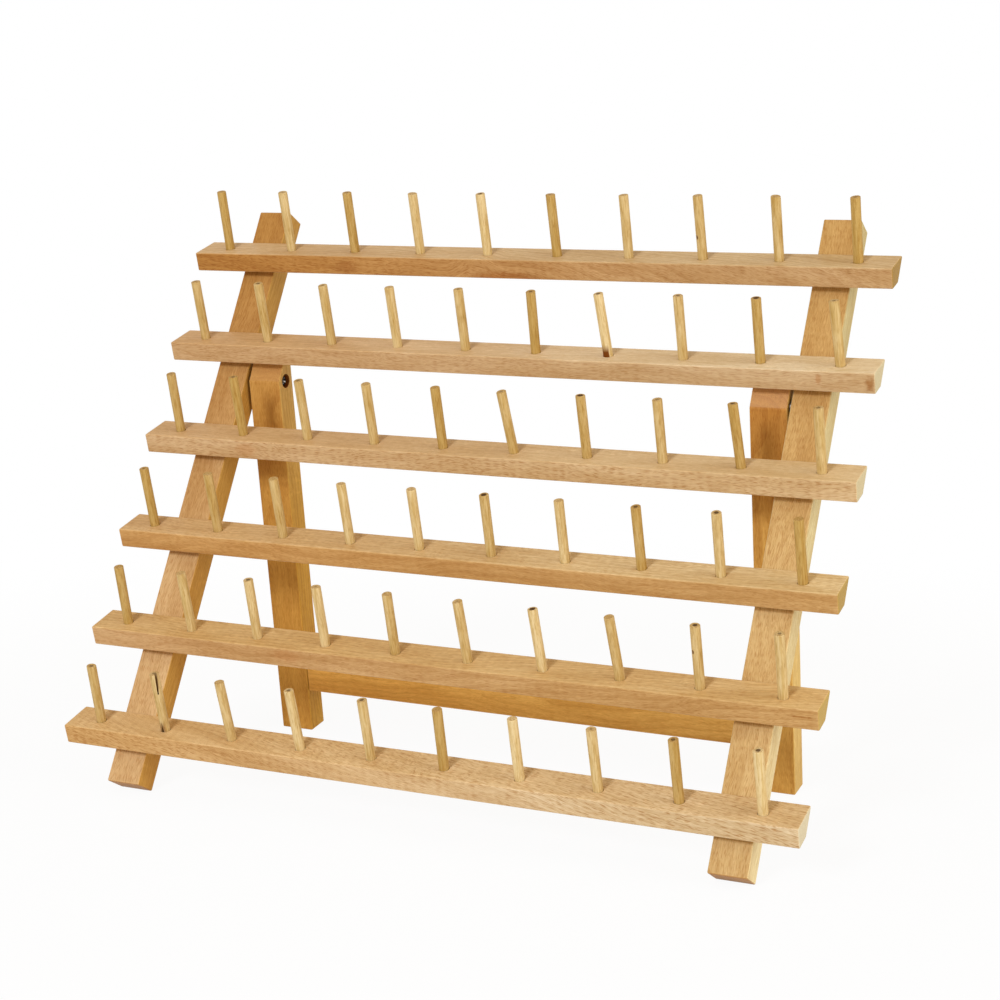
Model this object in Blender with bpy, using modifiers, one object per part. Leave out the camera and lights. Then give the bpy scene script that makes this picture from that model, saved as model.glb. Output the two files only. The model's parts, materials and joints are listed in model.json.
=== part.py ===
"""Folding beech thread rack.

Six pegged shelves are screwed across two uprights. Behind the second shelf a stand of two legs and
a crossbar turns on one axis, so that the rack leans back on a table or folds flat between the
uprights. Lengths are in metres, +Z is up, X runs along the shelves and the pegs face -Y.
"""

import math
from dataclasses import dataclass

import bmesh
import bpy
from mathutils import Matrix, Vector

# Running and seating gap between pieces that touch on the real rack
CLEARANCE = 0.0003
# How far a cutter passes the surface that it opens
OVERRUN = 0.002
# Points closer than this share of the clearance are one point
MERGE_SHARE = 0.1
# Edges that turn by more than this stay sharp on a round piece
SHARP_ANGLE = math.radians(35.0)

# Shelves, a right-angled strip with its back planed to lie flat on the uprights
SHELF_COUNT = 6
SHELF_LENGTH = 0.400
SHELF_TOP_DEPTH = 0.0203
SHELF_THICKNESS = 0.0105
SHELF_TILT = math.radians(45.0)
LOWEST_SHELF_HEIGHT = 0.0363
# The lowest shelf is screwed on a little above its place in the even spacing
LOWEST_SHELF_RISE = 0.0011
TOP_SHELF_DROP = 0.0196
SHELF_EASE = 0.0005

# Pegs, dowels glued in along each shelf's top, a little in front of its middle
PEGS_PER_SHELF = 10
PEG_END_GAP = 0.01865
PEG_ROW_SHIFT = -0.0005
PEG_ROW_ADVANCE = 0.0014
PEG_DIAMETER = 0.0050
PEG_EXPOSED_LENGTH = 0.0334
PEG_COVER_THICKNESS = 0.0010
PEG_EASE = 0.0004
PEG_SIDES = 12

# The strip that the uprights, the stand's legs and the crossbar are cut from
STRIP_WIDTH = 0.0195
STRIP_THICKNESS = 0.0140
STRIP_EASE = 0.0005

# Uprights
UPRIGHT_LENGTH = 0.3334
UPRIGHT_INSET = 0.0246
UPRIGHT_SHIFT = 0.0009

# Stand
OPEN_ANGLE = math.radians(37.4)
# Open, the head of each leg bears on the back of this shelf, this far below its back top edge
STOP_SHELF = 2
STOP_DROP = 0.0108
LEG_ABOVE_PIVOT = 0.0156
LEG_CHAMFER_START = 0.0008
# Folded, the legs' feet end this far above the feet of the uprights
LEG_FOOT_RISE = 0.0270
CROSSBAR_FOOT_GAP = 0.0247

# Pivot washers and screws
WASHER_THICKNESS = 0.0010
WASHER_DIAMETER = 0.0090
PIVOT_SHANK_DIAMETER = 0.0042
PIVOT_HEAD_DIAMETER = 0.0070
PIVOT_HEAD_HEIGHT = 0.0026
PIVOT_HEAD_CLEARANCE = 0.0004
PIVOT_COUNTERBORE_DEPTH = 0.0040
PIVOT_BITE = 0.0146

# Countersunk screws that hold the shelves
SHELF_SCREW_DIAMETER = 0.0030
SHELF_SCREW_HEAD_DIAMETER = 0.0060
SHELF_SCREW_EDGE_GAP = 0.0040
SHELF_SCREW_COVER_THICKNESS = 0.00445
SCREW_TIP_LENGTH = 0.0030
SCREW_HEAD_SINK = 0.0004
SCREW_SIDES = 12

# Cross recess, as shares of the head that it is cut in
RECESS_LENGTH_SHARE = 0.62
RECESS_WIDTH_SHARE = 0.15
RECESS_DEPTH_SHARE = 0.50

# Places that follow from the sizes above
MERGE_DISTANCE = CLEARANCE * MERGE_SHARE
STRIP_MIDDLE = STRIP_THICKNESS / 2
SHELF_PITCH = (UPRIGHT_LENGTH - TOP_SHELF_DROP - LOWEST_SHELF_HEIGHT) / (SHELF_COUNT - 1)
SHELF_BACK_HEIGHT = SHELF_THICKNESS / math.cos(SHELF_TILT)
PEG_PITCH = (SHELF_LENGTH - 2 * PEG_END_GAP) / (PEGS_PER_SHELF - 1)
PEG_MIDDLE_DEPTH = SHELF_TOP_DEPTH / 2 + PEG_ROW_ADVANCE
PEG_BACK_DEPTH = (PEG_MIDDLE_DEPTH - PEG_DIAMETER / 2) / math.tan(SHELF_TILT)
PEG_SEAT_DEPTH = PEG_BACK_DEPTH - PEG_COVER_THICKNESS
SHELF_SCREW_DROP = SHELF_BACK_HEIGHT - SHELF_SCREW_EDGE_GAP
SHELF_SCREW_BITE = SHELF_SCREW_DROP / math.tan(SHELF_TILT) - SHELF_SCREW_COVER_THICKNESS
SHELF_SCREW_LENGTH = STRIP_THICKNESS - SCREW_HEAD_SINK + SHELF_SCREW_BITE
STOP_SHELF_HEIGHT = LOWEST_SHELF_HEIGHT + (SHELF_COUNT - STOP_SHELF) * SHELF_PITCH
STOP_RISE = LEG_ABOVE_PIVOT / math.cos(OPEN_ANGLE) - STRIP_MIDDLE * math.tan(OPEN_ANGLE)
PIVOT_HEIGHT = STOP_SHELF_HEIGHT - STOP_DROP - STOP_RISE
LEG_BELOW_PIVOT = PIVOT_HEIGHT - LEG_FOOT_RISE
HINGE_GAP = WASHER_THICKNESS + 2 * CLEARANCE
UPRIGHT_REACH = SHELF_LENGTH / 2 - UPRIGHT_INSET - STRIP_WIDTH / 2
LEG_REACH = UPRIGHT_REACH - STRIP_WIDTH - HINGE_GAP
LEG_INNER_REACH = LEG_REACH - STRIP_WIDTH / 2
CROSSBAR_LENGTH = 2 * (LEG_INNER_REACH - CLEARANCE)
CROSSBAR_HEIGHT = CROSSBAR_FOOT_GAP + STRIP_WIDTH / 2 - LEG_BELOW_PIVOT
PIVOT_SCREW_LENGTH = STRIP_WIDTH - PIVOT_COUNTERBORE_DEPTH + CLEARANCE + HINGE_GAP + PIVOT_BITE

SIDES = {"left": -1, "right": 1}

# Colour, roughness and metallic value of each material
FINISHES = {
    "shelf_beech": ((0.62, 0.39, 0.20, 1.0), 0.50, 0.0),
    "upright_beech": ((0.60, 0.35, 0.14, 1.0), 0.50, 0.0),
    "stand_beech": ((0.50, 0.25, 0.07, 1.0), 0.50, 0.0),
    "peg_birch": ((0.68, 0.48, 0.22, 1.0), 0.55, 0.0),
    "screw_steel": ((0.55, 0.54, 0.52, 1.0), 0.35, 1.0),
    "washer_steel": ((0.62, 0.62, 0.60, 1.0), 0.30, 1.0),
}


@dataclass
class Rack:
    """The collections and carriers that the pieces go in."""

    parts: bpy.types.Collection
    cutters: bpy.types.Collection
    stance: bpy.types.Object
    frame: bpy.types.Object
    hinge: bpy.types.Object


def clear_scene():
    """Removes the objects that the scene starts with."""
    for stray in list(bpy.data.objects):
        bpy.data.objects.remove(stray, do_unlink=True)


def new_collection(name):
    """Adds a collection to the scene."""
    collection = bpy.data.collections.new(name)
    bpy.context.scene.collection.children.link(collection)
    return collection


def new_material(name):
    """A Principled material from the table of finishes."""
    colour, roughness, metallic = FINISHES[name]
    material = bpy.data.materials.new(name)
    material.use_nodes = True
    material.diffuse_color = colour
    shader = material.node_tree.nodes["Principled BSDF"]
    shader.inputs["Base Color"].default_value = colour
    shader.inputs["Roughness"].default_value = roughness
    shader.inputs["Metallic"].default_value = metallic
    return material


def new_carrier(name, parent=None, location=(0, 0, 0), turn=0.0):
    """An empty that carries pieces, turned about X."""
    empty = bpy.data.objects.new(name, None)
    bpy.context.scene.collection.objects.link(empty)
    empty.parent = parent
    empty.location = location
    empty.rotation_euler = (turn, 0, 0)
    return empty


def place(name, mesh, collection, parent, location=(0, 0, 0), turn=0.0):
    """A mesh object under its carrier, turned about X."""
    piece = bpy.data.objects.new(name, mesh)
    collection.objects.link(piece)
    piece.parent = parent
    piece.location = location
    piece.rotation_euler = (turn, 0, 0)
    return piece


def baked_mesh(name, source):
    """The mesh of an object with its modifiers, which replaces the object."""
    bpy.context.view_layer.update()
    graph = bpy.context.evaluated_depsgraph_get()
    mesh = bpy.data.meshes.new_from_object(source.evaluated_get(graph))
    mesh.name = name
    bpy.data.objects.remove(source, do_unlink=True)
    return mesh


def weld(mesh):
    """Joins the loose edges of caps and seams."""
    shape = bmesh.new()
    shape.from_mesh(mesh)
    bmesh.ops.remove_doubles(shape, verts=shape.verts, dist=MERGE_DISTANCE)
    bmesh.ops.recalc_face_normals(shape, faces=shape.faces)
    shape.to_mesh(mesh)
    shape.free()


def box_mesh(name, size, centre=(0, 0, 0)):
    """A box of the given size about its centre."""
    mesh = bpy.data.meshes.new(name)
    shape = bmesh.new()
    frame = Matrix.Translation(centre) @ Matrix.Diagonal((*size, 1))
    bmesh.ops.create_cube(shape, size=1, matrix=frame)
    shape.to_mesh(mesh)
    shape.free()
    return mesh


def prism_mesh(name, outline, length):
    """A flat outline in Y and Z, drawn out along X to both sides of the origin."""
    curve = bpy.data.curves.new(name, "CURVE")
    curve.dimensions = "2D"
    curve.fill_mode = "BOTH"
    curve.extrude = length / 2
    spline = curve.splines.new("POLY")
    spline.points.add(len(outline) - 1)
    for point, (across, up) in zip(spline.points, outline):
        point.co = (across, up, 0, 1)
    spline.use_cyclic_u = True
    drawn = bpy.data.objects.new(name, curve)
    bpy.context.scene.collection.objects.link(drawn)
    mesh = baked_mesh(name, drawn)
    along_x = Matrix(((0, 0, 1), (1, 0, 0), (0, 1, 0))).to_4x4()
    mesh.transform(along_x)
    weld(mesh)
    return mesh


def turned_mesh(name, profile, sides, closed=False):
    """A profile of radius and height, from the top down, turned about Z."""
    mesh = bpy.data.meshes.new(name)
    shape = bmesh.new()
    points = [shape.verts.new((radius, 0, height)) for radius, height in profile]
    for upper, lower in zip(points, points[1:]):
        shape.edges.new((upper, lower))
    if closed:
        shape.edges.new((points[-1], points[0]))
    shape.to_mesh(mesh)
    shape.free()
    turned = bpy.data.objects.new(name, mesh)
    bpy.context.scene.collection.objects.link(turned)
    lathe = turned.modifiers.new("turn", "SCREW")
    lathe.steps = sides
    lathe.render_steps = sides
    lathe.use_merge_vertices = True
    lathe.merge_threshold = MERGE_DISTANCE
    mesh = baked_mesh(name, turned)
    weld(mesh)
    return mesh


def grouped_mesh(name, unit, placements):
    """Copies of one solid, joined in one mesh as separate solids."""
    mesh = bpy.data.meshes.new(name)
    shape = bmesh.new()
    for placement in placements:
        copy = unit.copy()
        copy.transform(placement)
        shape.from_mesh(copy)
        bpy.data.meshes.remove(copy)
    shape.to_mesh(mesh)
    shape.free()
    return mesh


def smooth(mesh):
    """Smooth shading on round walls, with sharp rims."""
    mesh.shade_smooth()
    mesh.set_sharp_from_angle(angle=SHARP_ANGLE)


def ease(piece, width):
    """Takes the sharpness off the edges."""
    bevel = piece.modifiers.new("ease", "BEVEL")
    bevel.width = width
    bevel.segments = 1
    bevel.limit_method = "ANGLE"


def combine(piece, other, operation):
    """A Boolean that keeps each surface's own material."""
    boolean = piece.modifiers.new(other.name, "BOOLEAN")
    boolean.operation = operation
    boolean.object = other
    boolean.material_mode = "TRANSFER"


def cut(piece, cutter):
    """Cuts another object's shape out of a piece."""
    combine(piece, cutter, "DIFFERENCE")


def join(piece, addition):
    """Makes another object's shape one solid with a piece."""
    combine(piece, addition, "UNION")


def place_cutter(name, mesh, collection, parent, location=(0, 0, 0), turn=0.0):
    """A hidden shape that only cuts."""
    cutter = place(name, mesh, collection, parent, location, turn)
    cutter.hide_render = True
    cutter.display_type = "WIRE"
    return cutter


def screw_walls(head, shank, length, grow=0.0):
    """A countersunk screw's outline from the rim of its flat head at height 0 down to its tip."""
    head_height = (head - shank) / 2
    return [
        (head / 2 + grow, 0),
        (shank / 2 + grow, -head_height),
        (shank / 2 + grow, SCREW_TIP_LENGTH - length),
        (0, -length - grow),
    ]


def recess_arms(head, head_top, head_height):
    """The two crossed slots of a screw's recess, as loose cutters."""
    reach = head * RECESS_LENGTH_SHARE
    width = head * RECESS_WIDTH_SHARE
    depth = head_height * RECESS_DEPTH_SHARE
    arms = []
    for across, along in ((reach, width), (width, reach)):
        mesh = box_mesh("recess_arm", (across, along, 2 * depth), (0, 0, head_top))
        arm = bpy.data.objects.new("recess_arm", mesh)
        bpy.context.scene.collection.objects.link(arm)
        arms.append(arm)
    return arms


def recessed_screw(name, profile, head, head_top, head_height, material):
    """A turned screw with a cross recess in its head."""
    body = bpy.data.objects.new(name, turned_mesh(name, profile, SCREW_SIDES))
    bpy.context.scene.collection.objects.link(body)
    arms = recess_arms(head, head_top, head_height)
    for arm in arms:
        cut(body, arm)
    mesh = baked_mesh(name, body)
    for arm in arms:
        bpy.data.objects.remove(arm, do_unlink=True)
    mesh.materials.clear()
    mesh.materials.append(material)
    smooth(mesh)
    return mesh


def countersunk_screw(name, head, shank, length, material):
    """A countersunk wood screw that points down from the origin."""
    profile = [(0, 0), *screw_walls(head, shank, length)]
    return recessed_screw(name, profile, head, 0, (head - shank) / 2, material)


def countersunk_hole(name, head, shank, length):
    """The cutter for a countersunk screw that sits a little below the surface."""
    mouth = SCREW_HEAD_SINK + OVERRUN
    walls = screw_walls(head, shank, length, CLEARANCE)
    return turned_mesh(name, [(0, mouth), (head / 2 + CLEARANCE, mouth), *walls], SCREW_SIDES)


def upright_x(side):
    """Middle of an upright along the shelves."""
    return SIDES[side] * UPRIGHT_REACH + UPRIGHT_SHIFT


def leg_x(side):
    """Middle of a stand leg along the shelves."""
    return SIDES[side] * LEG_REACH + UPRIGHT_SHIFT


def shelf_height(number):
    """Height of a shelf's back top edge up the uprights; shelf 1 is the top one."""
    rise = LOWEST_SHELF_RISE if number == SHELF_COUNT else 0
    return LOWEST_SHELF_HEIGHT + (SHELF_COUNT - number) * SHELF_PITCH + rise


def sideways(direction):
    """Turns what points down to point along X, to the right for 1 and to the left for -1."""
    return Matrix.Rotation(-direction * math.pi / 2, 4, "Y")


def make_uprights(rack, material):
    """The two uprights, with their front faces in the plane Y = 0 of the frame."""
    mesh = box_mesh("upright", (STRIP_WIDTH, STRIP_THICKNESS, UPRIGHT_LENGTH))
    mesh.materials.append(material)
    uprights = {}
    for side in SIDES:
        location = (upright_x(side), STRIP_MIDDLE, UPRIGHT_LENGTH / 2)
        uprights[side] = place("upright_" + side, mesh, rack.parts, rack.frame, location)
        ease(uprights[side], STRIP_EASE)
    return uprights


def shelf_outline():
    """A shelf's section, with its top face level and its back top edge at the origin."""
    back_run = SHELF_THICKNESS * math.tan(SHELF_TILT)
    return [
        (0, 0),
        (-SHELF_TOP_DEPTH, 0),
        (-SHELF_TOP_DEPTH, -SHELF_THICKNESS),
        (-back_run, -SHELF_THICKNESS),
    ]


def make_shelves(rack, material):
    """The shelves, tilted so that their backs lie on the uprights."""
    mesh = prism_mesh("shelf", shelf_outline(), SHELF_LENGTH)
    mesh.materials.append(material)
    shelves = {}
    for number in range(1, SHELF_COUNT + 1):
        name = f"shelf_{number}"
        location = (0, -CLEARANCE, shelf_height(number))
        shelves[number] = place(name, mesh, rack.parts, rack.frame, location, SHELF_TILT)
        ease(shelves[number], SHELF_EASE)
    return shelves


def peg_places():
    """Where the pegs of one shelf stand, in the shelf's own frame."""
    first = PEG_ROW_SHIFT - PEG_PITCH * (PEGS_PER_SHELF - 1) / 2
    return [Vector((first + PEG_PITCH * index, -PEG_MIDDLE_DEPTH, 0)) for index in range(PEGS_PER_SHELF)]


def add_pegs(rack, shelves, material):
    """A row of dowels for each shelf, glued in, so that a shelf and its pegs are one solid."""
    radius = PEG_DIAMETER / 2
    profile = [
        (0, PEG_EXPOSED_LENGTH),
        (radius - PEG_EASE, PEG_EXPOSED_LENGTH),
        (radius, PEG_EXPOSED_LENGTH - PEG_EASE),
        (radius, -PEG_SEAT_DEPTH),
        (0, -PEG_SEAT_DEPTH),
    ]
    peg = turned_mesh("peg", profile, PEG_SIDES)
    row = grouped_mesh("peg_row", peg, [Matrix.Translation(spot) for spot in peg_places()])
    row.materials.append(material)
    smooth(row)
    for number, shelf in shelves.items():
        name = f"pegs_of_shelf_{number}"
        pegs = place_cutter(name, row, rack.cutters, rack.frame, shelf.location, SHELF_TILT)
        join(shelf, pegs)


def make_shelf_screws(rack, uprights, shelves, material):
    """Screws from the back of each upright into every shelf."""
    backwards = Matrix.Rotation(-math.pi / 2, 4, "X")
    sizes = (SHELF_SCREW_HEAD_DIAMETER, SHELF_SCREW_DIAMETER, SHELF_SCREW_LENGTH)
    screw = countersunk_screw("shelf_screw", *sizes, material)
    screw.transform(backwards)
    hole = countersunk_hole("shelf_screw_hole", *sizes)
    hole.transform(backwards)
    head_depth = STRIP_THICKNESS - SCREW_HEAD_SINK
    heads = {
        number: Vector((0, head_depth, shelf_height(number) - SHELF_SCREW_DROP))
        for number in shelves
    }
    spots = [Matrix.Translation(head) for head in heads.values()]
    holes = grouped_mesh("shelf_screw_holes", hole, spots)
    for side, upright in uprights.items():
        column = Vector((upright_x(side), 0, 0))
        cutter = place_cutter("cut_shelf_screws_" + side, holes, rack.cutters, rack.frame, column)
        cut(upright, cutter)
        for number, shelf in shelves.items():
            name = f"shelf_screw_{side}_{number}"
            place(name, screw, rack.parts, rack.frame, column + heads[number])
            cut(shelf, cutter)


def leg_outline():
    """Side view of a stand leg about its pivot: square foot, front corner of the head cut back.

    When the stand is open, the upper edge of that cut lies in the plane of the uprights' front
    faces, where it bears on the back of the stop shelf.
    """
    front = -STRIP_MIDDLE
    back = STRIP_MIDDLE
    stop = (LEG_ABOVE_PIVOT * math.sin(OPEN_ANGLE) - STRIP_MIDDLE) / math.cos(OPEN_ANGLE)
    return [
        (back, LEG_ABOVE_PIVOT),
        (stop, LEG_ABOVE_PIVOT),
        (front, LEG_CHAMFER_START),
        (front, -LEG_BELOW_PIVOT),
        (back, -LEG_BELOW_PIVOT),
    ]


def make_legs(rack, material):
    """The stand's two legs."""
    mesh = prism_mesh("stand_leg", leg_outline(), STRIP_WIDTH)
    mesh.materials.append(material)
    legs = {}
    for side in SIDES:
        location = (leg_x(side), 0, 0)
        legs[side] = place("stand_leg_" + side, mesh, rack.parts, rack.hinge, location)
        ease(legs[side], STRIP_EASE)
    return legs


def make_crossbar(rack, material):
    """The crossbar between the legs, flush with them in front and behind."""
    mesh = box_mesh("crossbar", (CROSSBAR_LENGTH, STRIP_THICKNESS, STRIP_WIDTH))
    mesh.materials.append(material)
    location = (UPRIGHT_SHIFT, 0, CROSSBAR_HEIGHT)
    crossbar = place("crossbar", mesh, rack.parts, rack.hinge, location)
    ease(crossbar, STRIP_EASE)


def pivot_screw_profile():
    """A pan-head screw, with the underside of its head at height 0."""
    head = PIVOT_HEAD_DIAMETER / 2
    shank = PIVOT_SHANK_DIAMETER / 2
    shoulder = PIVOT_HEAD_HEIGHT / 2
    return [
        (0, PIVOT_HEAD_HEIGHT),
        (head - shoulder, PIVOT_HEAD_HEIGHT),
        (head, shoulder),
        (head, 0),
        (shank, 0),
        (shank, SCREW_TIP_LENGTH - PIVOT_SCREW_LENGTH),
        (0, -PIVOT_SCREW_LENGTH),
    ]


def pivot_hole_profile():
    """The counterbore and bore for a pivot screw, from the mouth down."""
    counterbore = PIVOT_HEAD_DIAMETER / 2 + PIVOT_HEAD_CLEARANCE
    bore = PIVOT_SHANK_DIAMETER / 2 + CLEARANCE
    mouth = PIVOT_COUNTERBORE_DEPTH + OVERRUN
    return [
        (0, mouth),
        (counterbore, mouth),
        (counterbore, -CLEARANCE),
        (bore, -CLEARANCE),
        (bore, SCREW_TIP_LENGTH - PIVOT_SCREW_LENGTH),
        (0, -PIVOT_SCREW_LENGTH - CLEARANCE),
    ]


def make_pivot_screws(rack, uprights, legs, material):
    """The screws that the stand turns on, driven from inside the legs into the uprights."""
    head_sizes = (PIVOT_HEAD_DIAMETER, PIVOT_HEAD_HEIGHT, PIVOT_HEAD_HEIGHT)
    for side, leg in legs.items():
        outwards = sideways(SIDES[side])
        screw = recessed_screw("pivot_screw", pivot_screw_profile(), *head_sizes, material)
        screw.transform(outwards)
        hole = turned_mesh("pivot_hole", pivot_hole_profile(), SCREW_SIDES)
        hole.transform(outwards)
        seat_depth = STRIP_WIDTH / 2 - PIVOT_COUNTERBORE_DEPTH + CLEARANCE
        seat_x = leg_x(side) - SIDES[side] * seat_depth
        in_frame = (seat_x, STRIP_MIDDLE, PIVOT_HEIGHT)
        in_leg = (seat_x, 0, 0)
        place("pivot_screw_" + side, screw, rack.parts, rack.frame, in_frame)
        cut(uprights[side], place_cutter("cut_pilot_" + side, hole, rack.cutters, rack.frame, in_frame))
        cut(leg, place_cutter("cut_bore_" + side, hole, rack.cutters, rack.hinge, in_leg))


def make_pivot_washers(rack, material):
    """The washers that keep the stand's legs off the uprights."""
    outer = WASHER_DIAMETER / 2
    inner = PIVOT_SHANK_DIAMETER / 2 + CLEARANCE
    half = WASHER_THICKNESS / 2
    profile = [(outer, half), (outer, -half), (inner, -half), (inner, half)]
    mesh = turned_mesh("pivot_washer", profile, SCREW_SIDES, closed=True)
    mesh.transform(sideways(SIDES["right"]))
    mesh.materials.append(material)
    smooth(mesh)
    for side in SIDES:
        middle_x = leg_x(side) + SIDES[side] * (STRIP_WIDTH + HINGE_GAP) / 2
        location = (middle_x, STRIP_MIDDLE, PIVOT_HEIGHT)
        place("pivot_washer_" + side, mesh, rack.parts, rack.frame, location)


def lean_angle():
    """How far the uprights lean back when both pairs of feet are on the floor.

    The uprights stand on their back lower edges and the legs on their front lower edges, just
    inside the easing of each edge.
    """
    turn = Matrix.Rotation(OPEN_ANGLE, 2)
    pivot = Vector((STRIP_MIDDLE, PIVOT_HEIGHT))
    leg_foot = pivot + turn @ Vector((STRIP_EASE - STRIP_MIDDLE, -LEG_BELOW_PIVOT))
    upright_foot = Vector((STRIP_THICKNESS - STRIP_EASE, 0))
    step = leg_foot - upright_foot
    return math.atan2(step.y, step.x)


def stand_on_floor(rack):
    """Moves the rack so that it stands at height 0, over the middle of the ground it covers."""
    bpy.context.view_layer.update()
    graph = bpy.context.evaluated_depsgraph_get()
    corners = []
    for piece in rack.parts.objects:
        solid = piece.evaluated_get(graph)
        corners.extend(solid.matrix_world @ vertex.co for vertex in solid.data.vertices)
    lowest = [min(corner[axis] for corner in corners) for axis in range(3)]
    highest = [max(corner[axis] for corner in corners) for axis in range(3)]
    rack.stance.location = (
        -(lowest[0] + highest[0]) / 2,
        -(lowest[1] + highest[1]) / 2,
        -lowest[2],
    )


def new_rack():
    """The empty rack: its collections, its leaning frame and the axis of its stand."""
    clear_scene()
    parts = new_collection("thread_rack")
    cutters = new_collection("thread_rack_cutters")
    stance = new_carrier("rack_stance")
    frame = new_carrier("front_frame", stance, turn=-lean_angle())
    hinge = new_carrier("stand_hinge", frame, (0, STRIP_MIDDLE, PIVOT_HEIGHT), OPEN_ANGLE)
    return Rack(parts, cutters, stance, frame, hinge)


def build_rack():
    """Makes the whole rack, open and standing on its four feet."""
    rack = new_rack()
    steel = new_material("screw_steel")
    stand_wood = new_material("stand_beech")
    uprights = make_uprights(rack, new_material("upright_beech"))
    shelves = make_shelves(rack, new_material("shelf_beech"))
    add_pegs(rack, shelves, new_material("peg_birch"))
    make_shelf_screws(rack, uprights, shelves, steel)
    legs = make_legs(rack, stand_wood)
    make_crossbar(rack, stand_wood)
    make_pivot_screws(rack, uprights, legs, steel)
    make_pivot_washers(rack, new_material("washer_steel"))
    stand_on_floor(rack)


build_rack()
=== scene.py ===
"""Looks of the folding beech thread rack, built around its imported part.

Every wooden strip is made in its own frame with its grain along X, and then set in the frame that
leans with the uprights or in the frame of the stand. Lengths are in metres.
"""

import json
import math
import random

import bmesh
import bpy
from mathutils import Euler, Matrix, Vector


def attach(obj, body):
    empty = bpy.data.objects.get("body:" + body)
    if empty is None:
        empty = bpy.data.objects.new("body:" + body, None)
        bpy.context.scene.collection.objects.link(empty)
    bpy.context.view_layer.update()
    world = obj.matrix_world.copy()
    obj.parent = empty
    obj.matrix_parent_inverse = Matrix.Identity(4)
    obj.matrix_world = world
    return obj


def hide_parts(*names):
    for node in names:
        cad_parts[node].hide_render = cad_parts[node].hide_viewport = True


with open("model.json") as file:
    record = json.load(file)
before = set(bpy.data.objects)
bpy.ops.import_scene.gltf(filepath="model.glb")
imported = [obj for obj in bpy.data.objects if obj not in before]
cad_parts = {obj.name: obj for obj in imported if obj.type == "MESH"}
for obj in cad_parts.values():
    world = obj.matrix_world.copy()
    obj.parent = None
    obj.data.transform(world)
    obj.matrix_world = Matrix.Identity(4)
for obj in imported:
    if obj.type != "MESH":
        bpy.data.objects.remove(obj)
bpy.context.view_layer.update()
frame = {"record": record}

RECORD = frame["record"]
MILLIMETRE = 0.001

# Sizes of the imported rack, but with rounder edges and shallower seats for the pegs
CLEARANCE = 0.0003
OVERRUN = 0.002
STRIP_WIDTH = 0.0195
STRIP_THICKNESS = 0.0140
STRIP_EASE = 0.0007
UPRIGHT_LENGTH = 0.3334
SHELF_COUNT = 6
SHELF_LENGTH = 0.400
SHELF_TOP_DEPTH = 0.0203
SHELF_THICKNESS = 0.0105
SHELF_TILT = math.radians(45.0)
SHELF_EASE = 0.0007
LOWEST_SHELF_HEIGHT = 0.0363
LOWEST_SHELF_RISE = 0.0011
TOP_SHELF_DROP = 0.0196
UPRIGHT_INSET = 0.0246
UPRIGHT_SHIFT = 0.0009
PEGS_PER_SHELF = 10
PEG_END_GAP = 0.01865
PEG_ROW_SHIFT = -0.0005
PEG_ROW_ADVANCE = 0.0014
PEG_DIAMETER = 0.0050
PEG_EXPOSED_LENGTH = 0.0334
PEG_SEAT_DEPTH = 0.0060
OPEN_ANGLE = math.radians(37.4)
PIVOT_HEIGHT = 0.23321
LEG_ABOVE_PIVOT = 0.0156
LEG_BELOW_PIVOT = 0.20621
LEG_CHAMFER_START = 0.0008
CROSSBAR_FOOT_GAP = 0.0247
WASHER_THICKNESS = 0.0010
WASHER_DIAMETER = 0.0090

# Screws: head and shank diameter, and length under the face of the head
SHELF_SCREW = (0.0060, 0.0030, 0.0200)
SHELF_SCREW_EDGE_GAP = 0.0040
SCREW_HEAD_SINK = 0.0004
SCREW_TIP_LENGTH = 0.0030
PIVOT_SHANK_DIAMETER = 0.0042
PIVOT_HEAD_DIAMETER = 0.0070
PIVOT_HEAD_HEIGHT = 0.0026
PIVOT_HEAD_CLEARANCE = 0.0004
PIVOT_COUNTERBORE_DEPTH = 0.0040
PIVOT_BITE = 0.0146

# Places that follow from the sizes above
SHELF_PITCH = (UPRIGHT_LENGTH - TOP_SHELF_DROP - LOWEST_SHELF_HEIGHT) / (SHELF_COUNT - 1)
SHELF_BACK_HEIGHT = SHELF_THICKNESS / math.cos(SHELF_TILT)
SHELF_SCREW_DROP = SHELF_BACK_HEIGHT - SHELF_SCREW_EDGE_GAP
PEG_PITCH = (SHELF_LENGTH - 2 * PEG_END_GAP) / (PEGS_PER_SHELF - 1)
PEG_MIDDLE_DEPTH = SHELF_TOP_DEPTH / 2 + PEG_ROW_ADVANCE
HINGE_GAP = WASHER_THICKNESS + 2 * CLEARANCE
UPRIGHT_REACH = SHELF_LENGTH / 2 - UPRIGHT_INSET - STRIP_WIDTH / 2
LEG_REACH = UPRIGHT_REACH - STRIP_WIDTH - HINGE_GAP
CROSSBAR_LENGTH = 2 * (LEG_REACH - STRIP_WIDTH / 2 - CLEARANCE)
CROSSBAR_HEIGHT = CROSSBAR_FOOT_GAP + STRIP_WIDTH / 2 - LEG_BELOW_PIVOT
PIVOT_SCREW_LENGTH = STRIP_WIDTH - PIVOT_COUNTERBORE_DEPTH + CLEARANCE + HINGE_GAP + PIVOT_BITE
PIVOT_SEAT = STRIP_WIDTH / 2 - PIVOT_COUNTERBORE_DEPTH + CLEARANCE

SIDES = {"left": -1, "right": 1}
EASE_SEGMENTS = 3
ROUND_SIDES = 40
PEG_SIDES = 24
SMOOTH_ANGLE = math.radians(38.0)
RECESS_DEPTH = 0.0012

# Pegs: the bore over the peg itself, the eased rim, the uneven girth, the dip and the pit of the
# pith, the gap under the peg and where the rings of its mesh lie
PEG_HOLE_GAP = 0.00022
PEG_EASE = 0.00025
PEG_SWELL = 0.00003
PEG_DIP = 0.00005
PEG_PIT_DEPTH = 0.0016
PEG_SEAT_GAP = 0.0001
PEG_RING_SHARES = (0.0, 0.03, 0.08, 0.2, 0.4, 0.6, 0.8, 0.95)
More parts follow.
